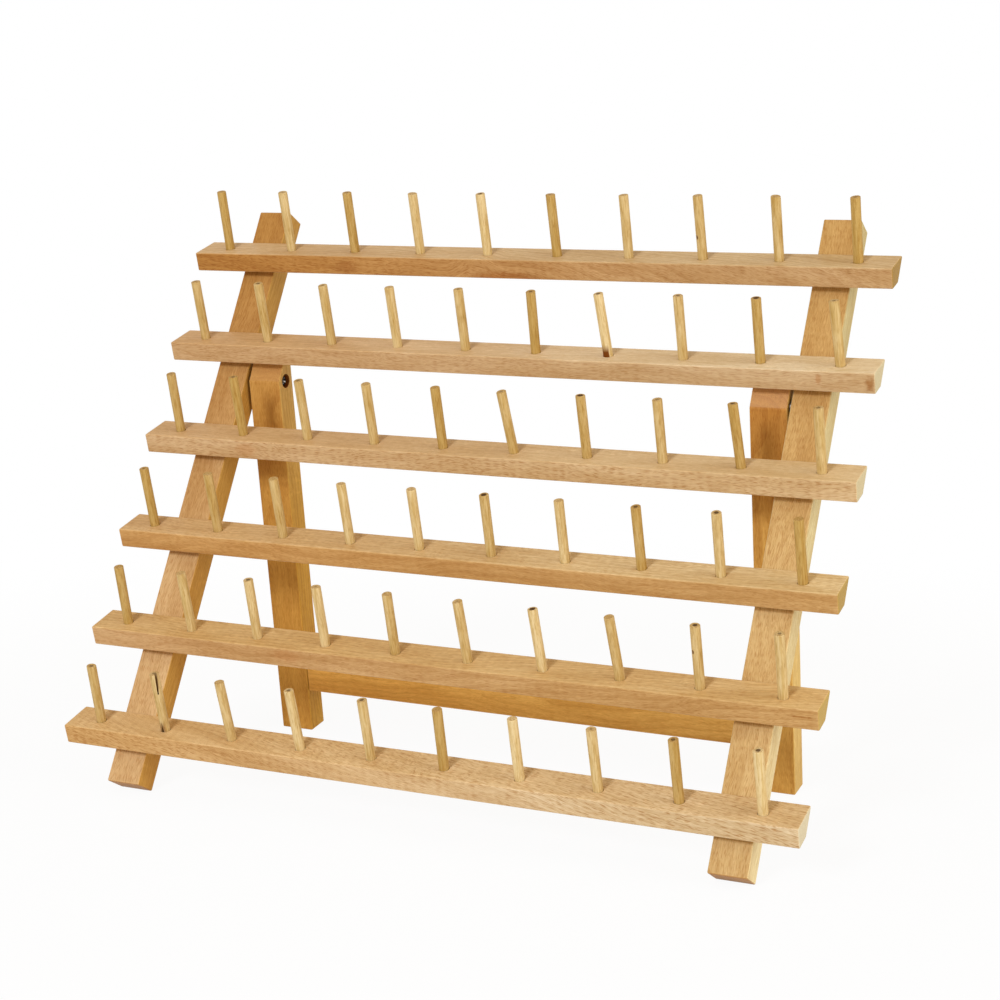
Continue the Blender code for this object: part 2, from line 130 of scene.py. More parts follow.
# A knot at this height in millimetres is nowhere near its peg
NO_KNOT = -100.0

# The one split peg is open from its top and from its foot. A crack is turned from the front, wide
# at one end and thin at its tip, and starts this far from the peg's axis.
TOP_CRACK_SHARE = 0.34
FOOT_CRACK_SHARE = 0.17
TOP_CRACK = dict(turn=math.radians(50), wide=0.00085, thin=0.00035, shear=0.0005)
FOOT_CRACK = dict(turn=0, wide=0.0009, thin=0.0001, shear=0.0)
CRACK_START = 0.0006


def upright_x(side):
    """Middle of an upright along the shelves."""
    return SIDES[side] * UPRIGHT_REACH + UPRIGHT_SHIFT


def leg_x(side):
    """Middle of a stand leg along the shelves."""
    return SIDES[side] * LEG_REACH + UPRIGHT_SHIFT


def shelf_height(number):
    """Height of a shelf's back top edge up the uprights; shelf 1 is the top one."""
    rise = LOWEST_SHELF_RISE if number == SHELF_COUNT else 0
    return LOWEST_SHELF_HEIGHT + (SHELF_COUNT - number) * SHELF_PITCH + rise


def leaning_frame():
    """The frame of the uprights: X along the shelves, Y backwards from their front faces, Z up."""
    mount = next(m for m in RECORD["mounts"] if m["name"] == "upright_back_left")
    back = Vector(mount["axis"]).normalized()
    along = Vector((1, 0, 0))
    up = along.cross(back)
    origin = Vector(mount["pos_m"]) - STRIP_THICKNESS * back - UPRIGHT_LENGTH / 2 * up
    origin.x = 0
    return Matrix.Translation(origin) @ Matrix((along, back, up)).transposed().to_4x4()


FRONT = leaning_frame()
HINGE = (
    FRONT
    @ Matrix.Translation((0, STRIP_THICKNESS / 2, PIVOT_HEIGHT))
    @ Matrix.Rotation(OPEN_ANGLE, 4, "X")
)
# Turns a strip that is made along X so that it stands along Z
UPENDED = Matrix(((0, 1, 0), (0, 0, 1), (1, 0, 0))).to_4x4()


# Shapes


def new_object(name, data):
    """A new object in the scene."""
    made = bpy.data.objects.new(name, data)
    bpy.context.scene.collection.objects.link(made)
    return made


def mesh_of(name, shape):
    """A mesh from a finished bmesh."""
    mesh = bpy.data.meshes.new(name)
    bmesh.ops.recalc_face_normals(shape, faces=shape.faces)
    shape.to_mesh(mesh)
    shape.free()
    return mesh


def eased_prism(name, outline, length, ease):
    """A flat outline in Y and Z drawn out along X about the origin, with rounded edges."""
    shape = bmesh.new()
    ring = [shape.verts.new((-length / 2, across, up)) for across, up in outline]
    drawn = bmesh.ops.extrude_face_region(shape, geom=[shape.faces.new(ring)])
    far_end = [part for part in drawn["geom"] if isinstance(part, bmesh.types.BMVert)]
    bmesh.ops.translate(shape, verts=far_end, vec=(length, 0, 0))
    bmesh.ops.recalc_face_normals(shape, faces=shape.faces)
    bmesh.ops.bevel(
        shape,
        geom=list(shape.edges),
        offset=ease,
        segments=EASE_SEGMENTS,
        profile=0.5,
        affect="EDGES",
        clamp_overlap=True,
    )
    return mesh_of(name, shape)


def rectangle(width, height):
    """Corners of a rectangle about the origin."""
    return [
        (-width / 2, -height / 2),
        (width / 2, -height / 2),
        (width / 2, height / 2),
        (-width / 2, height / 2),
    ]


def wall(shape, ring, next_ring):
    """Faces between two rings of as many points. Points that are shared make a face smaller."""
    for index in range(len(ring)):
        after = (index + 1) % len(ring)
        corners = (ring[index], ring[after], next_ring[after], next_ring[index])
        shape.faces.new(list(dict.fromkeys(corners)))


def turned(name, profile, sides=ROUND_SIDES, closed=False):
    """A profile of radius and height, from the top down, turned about Z."""
    shape = bmesh.new()
    rings = []
    for radius, height in profile:
        if radius == 0:
            rings.append([shape.verts.new((0, 0, height))] * sides)
            continue
        ring = []
        for index in range(sides):
            angle = 2 * math.pi * index / sides
            spot = (radius * math.cos(angle), radius * math.sin(angle), height)
            ring.append(shape.verts.new(spot))
        rings.append(ring)
    pairs = list(zip(rings, rings[1:]))
    if closed:
        pairs.append((rings[-1], rings[0]))
    for upper, lower in pairs:
        wall(shape, upper, lower)
    return mesh_of(name, shape)


def joined(name, meshes):
    """Several meshes in one."""
    shape = bmesh.new()
    for mesh in meshes:
        shape.from_mesh(mesh)
    return mesh_of(name, shape)


def moved(mesh, matrix):
    """A copy of a mesh in another place."""
    copy = mesh.copy()
    copy.transform(matrix)
    return copy


def without(mesh, cutter):
    """A mesh less another one."""
    kept, taken = (new_object(shape.name, shape) for shape in (mesh, cutter))
    boolean = kept.modifiers.new("cut", "BOOLEAN")
    boolean.operation = "DIFFERENCE"
    boolean.object = taken
    bpy.context.view_layer.update()
    graph = bpy.context.evaluated_depsgraph_get()
    result = bpy.data.meshes.new_from_object(kept.evaluated_get(graph))
    for helper in (kept, taken):
        bpy.data.objects.remove(helper, do_unlink=True)
    return result


def sideways(direction):
    """Turns what points down to point along X, to the right for 1 and to the left for -1."""
    return Matrix.Rotation(-direction * math.pi / 2, 4, "Y")


BACKWARDS = Matrix.Rotation(-math.pi / 2, 4, "X")
ALONG, ACROSS, UP = Vector((1, 0, 0)), Vector((0, 1, 0)), Vector((0, 0, 1))


def screw_walls(head, shank, length, grow=0.0):
    """A countersunk screw's outline from the rim of its flat head at height 0 down to its tip."""
    return [
        (head / 2 + grow, 0),
        (shank / 2 + grow, -(head - shank) / 2),
        (shank / 2 + grow, SCREW_TIP_LENGTH - length),
        (0, -length - grow),
    ]


def screw_hole(name, head, shank, length):
    """The cutter for a countersunk screw that sits a little below the surface."""
    mouth = SCREW_HEAD_SINK + OVERRUN
    walls = screw_walls(head, shank, length, CLEARANCE)
    return turned(name, [(0, mouth), (head / 2 + CLEARANCE, mouth), *walls])


def cross_recess(head, top, depth):
    """A tapered cross-shaped cutter for the recess of a screw head."""
    arms = []
    reach = 0.30 * head
    half = 0.055 * head
    for turn in (0, math.pi / 2):
        shape = bmesh.new()
        corners = []
        for height, share in ((top + depth, 1.3), (top, 1.0), (top - depth, 0.45)):
            long, short = reach * share, half * (0.4 + 0.6 * share)
            corners.append(
                [shape.verts.new((x, y, height)) for x, y in rectangle(2 * long, 2 * short)]
            )
        shape.faces.new(corners[0])
        shape.faces.new(corners[-1])
        for upper, lower in zip(corners, corners[1:]):
            wall(shape, upper, lower)
        mesh = mesh_of("recess_arm", shape)
        arms.append(moved(mesh, Matrix.Rotation(turn, 4, "Z")))
    return arms


def recessed(mesh, head, top, depth):
    """A screw with the recess cut in its head."""
    for arm in cross_recess(head, top, depth):
        mesh = without(mesh, arm)
    return mesh


def countersunk_screw(name, head, shank, length):
    """A countersunk wood screw that points down from the origin, with a thin rim on its head."""
    rim = 0.02 * head
    walls = screw_walls(head, shank, length)
    profile = [(0, 0), (head / 2 - rim, 0), (head / 2, -rim), *walls[1:]]
    return recessed(turned(name, profile), head, 0, (head - shank) / 3)


def pan_screw(name):
    """The pivot screw, with the underside of its head at height 0."""
    radius = PIVOT_HEAD_DIAMETER / 2
    shank = PIVOT_SHANK_DIAMETER / 2
    crown = []
    for step in range(7):
        angle = math.pi / 2 * step / 6
        rise = PIVOT_HEAD_HEIGHT * (0.45 + 0.55 * math.cos(angle))
        crown.append((radius * math.sin(angle), rise))
    profile = [
        *crown,
        (radius, 0),
        (shank, 0),
        (shank, SCREW_TIP_LENGTH - PIVOT_SCREW_LENGTH),
        (0, -PIVOT_SCREW_LENGTH),
    ]
    mesh = recessed(turned(name, profile), PIVOT_HEAD_DIAMETER, PIVOT_HEAD_HEIGHT, RECESS_DEPTH)
    # The cross recess's faces are marked for a painted glint, near white on the dark head
    glint_height = 0.88 * PIVOT_HEAD_HEIGHT
    glint_radius = 0.3 * PIVOT_HEAD_DIAMETER

    def glint_faces(polygon):
        spot = polygon.center
        in_recess = 0 < spot.z < glint_height and math.hypot(spot.x, spot.y) < glint_radius
        return 1.0 if in_recess else 0.0

    mark_faces(mesh, "painted_glint", glint_faces)
    return mesh


def pivot_hole(name):
    """The counterbore and bore for a pivot screw, from the mouth down."""
    counterbore = PIVOT_HEAD_DIAMETER / 2 + PIVOT_HEAD_CLEARANCE
    bore = PIVOT_SHANK_DIAMETER / 2 + CLEARANCE
    mouth = PIVOT_COUNTERBORE_DEPTH + OVERRUN
    profile = [
        (0, mouth),
        (counterbore, mouth),
        (counterbore, -CLEARANCE),
        (bore, -CLEARANCE),
        (bore, SCREW_TIP_LENGTH - PIVOT_SCREW_LENGTH),
        (0, -PIVOT_SCREW_LENGTH - CLEARANCE),
    ]
    return turned(name, profile)


def washer(name):
    """A flat washer with eased rims, its axis along X."""
    outer = WASHER_DIAMETER / 2
    inner = PIVOT_SHANK_DIAMETER / 2 + CLEARANCE
    half = WASHER_THICKNESS / 2
    rim = half / 3
    profile = [
        (outer - rim, half),
        (outer, half - rim),
        (outer, rim - half),
        (outer - rim, -half),
        (inner + rim, -half),
        (inner, rim - half),
        (inner, half - rim),
        (inner + rim, half),
    ]
    return moved(turned(name, profile, closed=True), sideways(1))


# Materials


def node(tree, kind, inputs=None, **settings):
    """A new node with its settings, and with its inputs set or linked."""
    made = tree.nodes.new(kind)
    for key, value in settings.items():
        setattr(made, key, value)
    for key, value in (inputs or {}).items():
        if isinstance(value, bpy.types.NodeSocket):
            tree.links.new(value, made.inputs[key])
        else:
            made.inputs[key].default_value = value
    return made


def maths(tree, operation, first, second=0.0, clamp=False):
    """A Math node's value."""
    inputs = {0: first, 1: second}
    return node(tree, "ShaderNodeMath", inputs, operation=operation, use_clamp=clamp).outputs[0]


def vector_maths(tree, operation, *inputs):
    """A Vector Math node's vector."""
    values = dict(enumerate(inputs))
    return node(tree, "ShaderNodeVectorMath", values, operation=operation).outputs["Vector"]


def length_of(tree, vector):
    """The length of a vector."""
    return node(tree, "ShaderNodeVectorMath", {0: vector}, operation="LENGTH").outputs["Value"]


def blend(tree, factor, first, second, mode="MIX"):
    """A mix of two colours."""
    inputs = {0: factor, 6: first, 7: second}
    made = node(tree, "ShaderNodeMix", inputs, data_type="RGBA", blend_type=mode)
    return made.outputs[2]


def eased_step(tree, value, low, high, to_low=0.0, to_high=1.0):
    """A smooth step from one value to another."""
    inputs = {"Value": value, 1: low, 2: high, 3: to_low, 4: to_high}
    made = node(tree, "ShaderNodeMapRange", inputs, interpolation_type="SMOOTHSTEP")
    return made.outputs["Result"]


def stretched_noise(tree, place, scale, detail=2.0, roughness=0.5):
    """Noise over a place that is stretched by a scale of its own along each axis."""
    spot = vector_maths(tree, "MULTIPLY", place, scale)
    inputs = {"Vector": spot, "Scale": 1.0, "Detail": detail, "Roughness": roughness}
    return node(tree, "ShaderNodeTexNoise", inputs).outputs["Fac"]


def dashes(tree, place, scale, low, high, share):
    """Sparse spindles, one in each cell of a stretched pattern, for a share of the cells."""
    spot = vector_maths(tree, "MULTIPLY", place, scale)
    inputs = {"Vector": spot, "Scale": 1.0, "Randomness": 1.0}
    cells = node(tree, "ShaderNodeTexVoronoi", inputs)
    body = eased_step(tree, cells.outputs["Distance"], high, low)
    tint = node(tree, "ShaderNodeSeparateColor", {0: cells.outputs["Color"]})
    kept = eased_step(tree, tint.outputs[0], 1 - share, 1 - share / 2)
    return maths(tree, "MULTIPLY", body, kept)


def colour(red, green, blue):
    """A colour as the eye names it, 0 to 255 a channel, in the linear values of a socket."""
    linear = []
    for channel in (red, green, blue):
        share = channel / 255
        linear.append(share / 12.92 if share <= 0.04045 else ((share + 0.055) / 1.055) ** 2.4)
    return (*linear, 1.0)


def wood_figure():
    """Growth rings, ray flecks, fibres and clouds of beech over a place in millimetres.

    X is along the grain. The place is read round the pith of the tree, so that broad faces, edges
    and end grain each show their own side of one figure.
    """
    tree = bpy.data.node_groups.new("beech_figure", "ShaderNodeTree")
    face = tree.interface
    face.new_socket("Place", in_out="INPUT", socket_type="NodeSocketVector")
    face.new_socket("Pith", in_out="INPUT", socket_type="NodeSocketVector")
    for name in ("Rings", "Dashes", "Fibres", "Streaks", "Clouds", "Pores", "Rays"):
        face.new_socket(name, in_out="OUTPUT", socket_type="NodeSocketFloat")
    entry = node(tree, "NodeGroupInput")
    exit_ = node(tree, "NodeGroupOutput")
    place, pith = entry.outputs["Place"], entry.outputs["Pith"]

    # The tree isn't straight: the pith wanders as the place runs along the grain
    spot = vector_maths(tree, "MULTIPLY", place, (0.011, 0.022, 0.022))
    sway = node(tree, "ShaderNodeTexNoise", {"Vector": spot, "Scale": 1.0, "Detail": 2.5})
    wander = vector_maths(tree, "MULTIPLY_ADD", sway.outputs["Color"], (0, 16, 16), (0, -8, -8))
    swayed = vector_maths(tree, "ADD", vector_maths(tree, "SUBTRACT", place, pith), wander)
    along, across, up = node(tree, "ShaderNodeSeparateXYZ", {0: swayed}).outputs
    squared = maths(tree, "ADD", maths(tree, "MULTIPLY", across, across), maths(tree, "MULTIPLY", up, up))
    radius = maths(tree, "SQRT", squared)
    around = maths(tree, "MULTIPLY", maths(tree, "ARCTAN2", up, across), length_of(tree, pith))
    wood = node(tree, "ShaderNodeCombineXYZ", {0: along, 1: radius, 2: around}).outputs[0]
    ripple = stretched_noise(tree, wood, (0.11, 0.15, 0.35), 2.0)
    ripple = maths(tree, "MULTIPLY", ripple, 1.6)
    lift = node(tree, "ShaderNodeCombineXYZ", {1: ripple, 2: ripple}).outputs[0]
    rippled = vector_maths(tree, "ADD", wood, lift)

    # One ring every 2.6 mm or so, darker where the year's growth ends
    uneven = stretched_noise(tree, wood, (0.004, 0.16, 0.01), 2.0)
    count = maths(tree, "ADD", maths(tree, "DIVIDE", radius, 2.6), maths(tree, "MULTIPLY", uneven, 2.2))
    growth = maths(tree, "FRACT", count)
    rise = eased_step(tree, growth, 0.30, 0.90)
    fall = eased_step(tree, growth, 1.0, 0.93)
    tree.links.new(maths(tree, "MULTIPLY", rise, fall), exit_.inputs["Rings"])

    # Rays: thin ribbons from the pith to the bark, spindles where a face cuts them end on
    small = dashes(tree, rippled, (0.22, 1.90, 2.50), 0.18, 0.56, 0.75)
    large = dashes(tree, rippled, (0.15, 1.30, 1.70), 0.12, 0.44, 0.45)
    tree.links.new(maths(tree, "MAXIMUM", small, large), exit_.inputs["Dashes"])
    noises = {
        "Rays": (wood, (0.22, 0.05, 1.1), 1.0),
        "Fibres": (wood, (0.045, 1.4, 1.4), 4.0, 0.64),
        "Streaks": (rippled, (0.18, 2.9, 2.9), 1.0),
        "Clouds": (place, (0.014, 0.07, 0.07), 2.0),
        "Pores": (wood, (0.55, 5.5, 5.5), 2.0, 0.6),
    }
    for name, settings in noises.items():
        tree.links.new(stretched_noise(tree, *settings), exit_.inputs[name])
    return tree


FIGURE = wood_figure()
# Further than any piece reaches, in millimetres
ENDLESS = 1e4


def new_material(name):
    """A material with its node tree and its shader."""
    material = bpy.data.materials.new(name)
    material.use_nodes = True
    tree = material.node_tree
    return material, tree, tree.nodes["Principled BSDF"]


def bumpy(tree, shader, height, strength, depth):
    """Gives a shader a bump from a height, with its strength and its depth in millimetres."""
    inputs = {"Height": height, "Strength": strength, "Distance": depth * MILLIMETRE}
    tree.links.new(node(tree, "ShaderNodeBump", inputs).outputs[0], shader.inputs["Normal"])


def named_value(tree, name):
    """A number that the mesh carries on its faces or points."""
    return node(tree, "ShaderNodeAttribute", attribute_name=name).outputs["Fac"]


def in_millimetres(tree):
    """The place in the piece's own frame, in millimetres."""
    source = node(tree, "ShaderNodeTexCoord").outputs["Object"]
    return vector_maths(tree, "MULTIPLY", source, (1 / MILLIMETRE,) * 3)


def distance_from(tree, place, centre, reach):
    """How far a place is from a centre, in units of the reach along each axis."""
    off = vector_maths(tree, "SUBTRACT", place, centre)
    return length_of(tree, vector_maths(tree, "DIVIDE", off, reach))


def marks_over(tree, shade, place, marks):
    """Knots, streaks and stains: centre and half sizes in millimetres, tint and strength."""
    if not marks:
        return shade
    rough = node(tree, "ShaderNodeTexNoise", {"Vector": place, "Scale": 0.55, "Detail": 3.0})
    fray = maths(tree, "MULTIPLY", rough.outputs["Fac"], 0.9)
    for centre, reach, tint, strength in marks:
        frayed = maths(tree, "ADD", distance_from(tree, place, centre, reach), fray)
        inside = eased_step(tree, frayed, 1.45, 0.75, 0.0, strength)
        shade = blend(tree, inside, shade, blend(tree, 1.0, shade, colour(*tint), "MULTIPLY"))
    return shade


def tinted(tree, shade, factor, tint):
    """A colour multiplied by a tint where the factor is high."""
    return blend(tree, factor, shade, (*tint, 1.0), "MULTIPLY")


def beech(
    name, face, flank, end, pith, seed, length,
    rings=0.3, flecks=(0.7, 0.2), slants=(0, 0), marks=(), bulges=(),
):
    """Planed beech with a clear satin finish.

    Face and flank are pairs of colours, for the two ends of the strip. Rings and flecks tell how
    strongly the growth rings and the ray flecks show, the flecks on the face and on the flank.
    Slants tell how much the grain falls along each half, and bulges where it arches up on the face.
    """
    material, tree, shader = new_material(name)
    local = in_millimetres(tree)
    axes = node(tree, "ShaderNodeSeparateXYZ", {0: local})
    turned_away = named_value(tree, "flank")
    left = maths(tree, "MULTIPLY", maths(tree, "MINIMUM", axes.outputs[0], 0.0), slants[0])
    right = maths(tree, "MULTIPLY", maths(tree, "MAXIMUM", axes.outputs[0], 0.0), slants[1])
    slide = maths(tree, "ADD", left, right)
    for centre, width, rise in bulges:
        off = distance_from(tree, local, (centre, 0, 0), (width, ENDLESS, ENDLESS))
        slide = maths(tree, "SUBTRACT", slide, eased_step(tree, off, 1.0, 0.0, 0.0, rise))
    on_flank = maths(tree, "MULTIPLY", slide, turned_away)
    on_face = maths(tree, "SUBTRACT", slide, on_flank)
    lift = node(tree, "ShaderNodeCombineXYZ", {1: on_flank, 2: on_face}).outputs[0]
    place = vector_maths(tree, "ADD", local, lift)
    shift = random.Random(seed).uniform(-4000, 4000)
    figure = node(tree, "ShaderNodeGroup", node_tree=FIGURE)
    tree.links.new(vector_maths(tree, "ADD", place, (shift, 0, 0)), figure.inputs["Place"])
    figure.inputs["Pith"].default_value = (0, *pith)
    out = figure.outputs

    half = length / MILLIMETRE / 2
    along = eased_step(tree, axes.outputs[0], -half, half)
    face, flank = ([colour(*shade) for shade in pair] for pair in (face, flank))
    # Face and flank colours; on the uprights and legs these carry painted light and shade besides the
    # wood's own colour
    shade = blend(tree, turned_away, blend(tree, along, *face), blend(tree, along, *flank))

    def step(part, low, high, strength=1.0):
        return eased_step(tree, out[part], low, high, 0.0, strength)

    def scaled(value, strength):
        return maths(tree, "MULTIPLY", value, strength)

    fleck_share = eased_step(tree, turned_away, 0.2, 0.8, *flecks)
    figure_tints = (
        (step("Clouds", 0.40, 0.70), (0.90, 0.85, 0.77)),
        (step("Clouds", 0.55, 0.30), (1.04, 1.06, 1.10)),
        (step("Fibres", 0.45, 0.72, 0.6), (0.82, 0.74, 0.60)),
        (step("Streaks", 0.52, 0.62, 0.5), (0.82, 0.72, 0.56)),
        (step("Streaks", 0.46, 0.36, 0.5), (1.08, 1.10, 1.13)),
        (scaled(out["Rings"], rings), (0.70, 0.55, 0.37)),
        (step("Rays", 0.58, 0.74, 0.8), (1.10, 1.12, 1.14)),
        (scaled(out["Dashes"], fleck_share), (0.68, 0.50, 0.33)),
        (step("Pores", 0.54, 0.72, 0.35), (0.72, 0.62, 0.48)),
    )
    for factor, tint in figure_tints:
        shade = tinted(tree, shade, factor, tint)
    end = colour(*end)
    ends = blend(tree, step("Pores", 0.35, 0.70), end, tinted(tree, end, 1.0, (0.84, 0.78, 0.68)))
    shade = blend(tree, scaled(named_value(tree, "end_grain"), 0.85), shade, ends)
    # Paler eased edges: partly paler sanded wood, partly a painted highlight along the edges
    shade = tinted(tree, shade, scaled(named_value(tree, "eased"), 0.35), (1.10, 1.14, 1.20))
    # Painted shade: the walls of the legs' counterbores are darkened where their faces are marked
    shade = tinted(tree, shade, named_value(tree, "bore_shade"), (0.42, 0.27, 0.16))
    shade = marks_over(tree, shade, local, marks)
    tree.links.new(shade, shader.inputs["Base Color"])

    rough = eased_step(tree, out["Fibres"], 0.30, 0.75, 0.46, 0.60)
    rough = maths(tree, "ADD", rough, scaled(out["Dashes"], 0.06))
    tree.links.new(rough, shader.inputs["Roughness"])
    shader.inputs["Specular IOR Level"].default_value = 0.14
    height = maths(tree, "ADD", out["Pores"], out["Fibres"])
    height = maths(tree, "SUBTRACT", height, scaled(out["Dashes"], 0.5))
    bumpy(tree, shader, height, 0.3, 0.03)
    return material


def dowel_wood(name, pale, deep, edge):
    """Bare turned dowel: long fibres, brown threads, a darker cut end, a knot, painted shade in the pit
    and in cracks, and a dark brown foot on some pegs.
    """
    material, tree, shader = new_material(name)
    seed = named_value(tree, "seed")
    shift = {0: seed, 1: maths(tree, "MULTIPLY", seed, 0.37), 2: seed}
    offset = node(tree, "ShaderNodeCombineXYZ", shift).outputs[0]
    local = in_millimetres(tree)
    place = vector_maths(tree, "ADD", local, offset)
    clouds = stretched_noise(tree, place, (0.30, 0.30, 0.07), 2.0)
    fibres = stretched_noise(tree, place, (0.9, 0.9, 0.05), 3.0, 0.6)
    threads = stretched_noise(tree, place, (2.4, 2.4, 0.20), 2.0, 0.6)
    tone = maths(tree, "MULTIPLY", named_value(tree, "tone"), 0.5)
    depth = maths(tree, "SUBTRACT", maths(tree, "MULTIPLY", clouds, 0.8), tone)
    shade = blend(tree, eased_step(tree, depth, -0.10, 0.90), pale, deep)
    shade = tinted(tree, shade, eased_step(tree, fibres, 0.44, 0.64, 0.0, 0.85), (0.82, 0.74, 0.54))
    shade = tinted(tree, shade, eased_step(tree, threads, 0.50, 0.66, 0.0, 0.65), (0.70, 0.58, 0.38))
    specks = eased_step(tree, threads, 0.46, 0.60, 0.15, 0.75)
    shade = blend(tree, maths(tree, "MULTIPLY", named_value(tree, "end_grain"), specks), shade, edge)
    knot_place = {0: -1.3, 1: -2.1, 2: named_value(tree, "knot")}
    middle = node(tree, "ShaderNodeCombineXYZ", knot_place).outputs[0]
    knot = distance_from(tree, local, middle, (0.9, 0.9, 1.4))
    shade = blend(tree, eased_step(tree, knot, 1.0, 0.55, 0.0, 0.9), shade, colour(96, 62, 30))
    # Dark brown in the pit of the pith: painted shade in the hollow
    shade = blend(tree, named_value(tree, "pit"), shade, colour(92, 64, 34))
    # Dark red-brown where marked: a dark foot on some pegs, and painted shade inside the split peg's
    # cracks
    shade = blend(tree, named_value(tree, "darkening"), shade, colour(112, 56, 4))
    tree.links.new(shade, shader.inputs["Base Color"])
    tree.links.new(eased_step(tree, fibres, 0.3, 0.75, 0.50, 0.66), shader.inputs["Roughness"])
    shader.inputs["Specular IOR Level"].default_value = 0.14
    height = maths(tree, "ADD", fibres, threads)
    bumpy(tree, shader, height, 0.35, 0.05)
    return material


def plated_steel(name, bright, dull, painted_glint=None):
    """Plated steel with fine scratches and dull patches, and a painted glint on the faces marked for it.
    """
    material, tree, shader = new_material(name)
    local = in_millimetres(tree)
    patches = stretched_noise(tree, local, (0.7, 0.7, 0.7), 3.0)
    scratches = stretched_noise(tree, local, (9.0, 1.2, 9.0), 2.0)
    shade = blend(tree, eased_step(tree, patches, 0.40, 0.65), bright, dull)
    # Painted glint where the faces are marked for it
    shade = blend(tree, named_value(tree, "painted_glint"), shade, painted_glint or bright)
    tree.links.new(shade, shader.inputs["Base Color"])
    rough = eased_step(tree, scratches, 0.30, 0.70, 0.30, 0.48)
    tree.links.new(rough, shader.inputs["Roughness"])
    shader.inputs["Metallic"].default_value = 1.0
    bumpy(tree, shader, scratches, 0.2, 0.01)
    return material


# Pieces


def mark_faces(mesh, name, value_of):
    """Stores a number on each face."""
    layer = mesh.attributes.new(name, "FLOAT", "FACE")
    for polygon, item in zip(mesh.polygons, layer.data):
        item.value = value_of(polygon)


def mark_grain(mesh, flank, faces_of_cut):
    """Tells end grain, flanks and eased edges from the broad faces of a strip along X; the eased edges
    get a painted highlight.
    """

    def end_grain(polygon):
        return max(0.0, min(1.0, (abs(polygon.normal.x) - 0.4) / 0.4))

    def flank_share(polygon):
        return min(1.0, abs(polygon.normal.dot(flank)) ** 2 * 1.2)

    def eased(polygon):
        return 0.0 if any(abs(polygon.normal.dot(way)) > 0.9995 for way in faces_of_cut) else 1.0

    mark_faces(mesh, "end_grain", end_grain)
    mark_faces(mesh, "flank", flank_share)
    mark_faces(mesh, "eased", eased)


def show(name, mesh, place, body, nodes, material):
    """A finished piece in its place, on its body, standing for its CAD nodes."""
    mesh.name = name
    mesh.materials.clear()
    mesh.materials.append(material)
    mesh.shade_smooth()
    mesh.set_sharp_from_angle(angle=SMOOTH_ANGLE)
    piece = new_object(name, mesh)
    piece.matrix_world = place
    weights = piece.modifiers.new("even_normals", "WEIGHTED_NORMAL")
    weights.keep_sharp = True
    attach(piece, body)
    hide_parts(*nodes)


def shelf_outline():
    """A shelf's section, with its top face level and its back top edge at the origin."""
    back_run = SHELF_THICKNESS * math.tan(SHELF_TILT)
    return [
        (0, 0),
        (-SHELF_TOP_DEPTH, 0),
        (-SHELF_TOP_DEPTH, -SHELF_THICKNESS),
        (-back_run, -SHELF_THICKNESS),
    ]


def peg_x(index):
    """Where a peg stands along its shelf, counted from 1 at the left."""
    return PEG_ROW_SHIFT + PEG_PITCH * (index - (PEGS_PER_SHELF + 1) / 2)


def shelf_place(number):
    """The frame of a shelf: X along it, Z out of its top face."""
    spot = Vector((0, -CLEARANCE, shelf_height(number)))
    return FRONT @ Matrix.Translation(spot) @ Matrix.Rotation(SHELF_TILT, 4, "X")


def shelf_screw_hole():
    """The cutter for one shelf screw, driven forward from the origin."""
    return moved(screw_hole("shelf_screw_hole", *SHELF_SCREW), BACKWARDS)


def shelf_mesh(number):
    """A shelf with its bored peg holes and the pilot holes of its two screws."""
    strip = eased_prism(f"shelf_{number}", shelf_outline(), SHELF_LENGTH, SHELF_EASE)
    bore = PEG_DIAMETER / 2 + PEG_HOLE_GAP
    walls = [(0, OVERRUN), (bore, OVERRUN), (bore, -PEG_SEAT_DEPTH), (0, -PEG_SEAT_DEPTH)]
    hole = turned("peg_hole", walls)
    cutters = [
        moved(hole, Matrix.Translation((peg_x(index), -PEG_MIDDLE_DEPTH, 0)))
        for index in range(1, PEGS_PER_SHELF + 1)
    ]
    screw = shelf_screw_hole()
    into_shelf = Matrix.Rotation(-SHELF_TILT, 4, "X")
    head_depth = STRIP_THICKNESS - SCREW_HEAD_SINK + CLEARANCE
    for side in SIDES:
        head = Vector((upright_x(side), head_depth, -SHELF_SCREW_DROP))
        cutters.append(moved(screw, into_shelf @ Matrix.Translation(head)))
    mesh = without(strip, joined("shelf_holes", cutters))
    planed = Vector((0, 1, -1)).normalized()
    mark_grain(mesh, UP, [ALONG, ACROSS, UP, planed])
    return mesh


def upright_mesh(side):
    """An upright along X, its width along Y and its thickness along Z, with its screw holes."""
    section = rectangle(STRIP_WIDTH, STRIP_THICKNESS)
    strip = eased_prism("upright_" + side, section, UPRIGHT_LENGTH, STRIP_EASE)
    to_local = UPENDED.inverted()
    centre = Vector((0, STRIP_THICKNESS / 2, UPRIGHT_LENGTH / 2))
    cutters = []
    screw = shelf_screw_hole()
    for number in range(1, SHELF_COUNT + 1):
        head = Vector((0, STRIP_THICKNESS - SCREW_HEAD_SINK, shelf_height(number) - SHELF_SCREW_DROP))
        cutters.append(moved(screw, to_local @ Matrix.Translation(head - centre)))
    inward = leg_x(side) - upright_x(side) - SIDES[side] * PIVOT_SEAT
    pivot = Vector((inward, STRIP_THICKNESS / 2, PIVOT_HEIGHT)) - centre
    pilot = moved(pivot_hole("pilot"), sideways(SIDES[side]))
    cutters.append(moved(pilot, to_local @ Matrix.Translation(pivot)))
    mesh = without(strip, joined("upright_holes", cutters))
    mark_grain(mesh, ACROSS, [ALONG, ACROSS, UP])
    return mesh


def leg_outline():
    """Side view of a stand leg about its pivot, with the front corner of its head cut back."""
    half = STRIP_THICKNESS / 2
    stop = (LEG_ABOVE_PIVOT * math.sin(OPEN_ANGLE) - half) / math.cos(OPEN_ANGLE)
    return [
        (half, LEG_ABOVE_PIVOT),
        (stop, LEG_ABOVE_PIVOT),
        (-half, LEG_CHAMFER_START),
        (-half, -LEG_BELOW_PIVOT),
        (half, -LEG_BELOW_PIVOT),
    ]


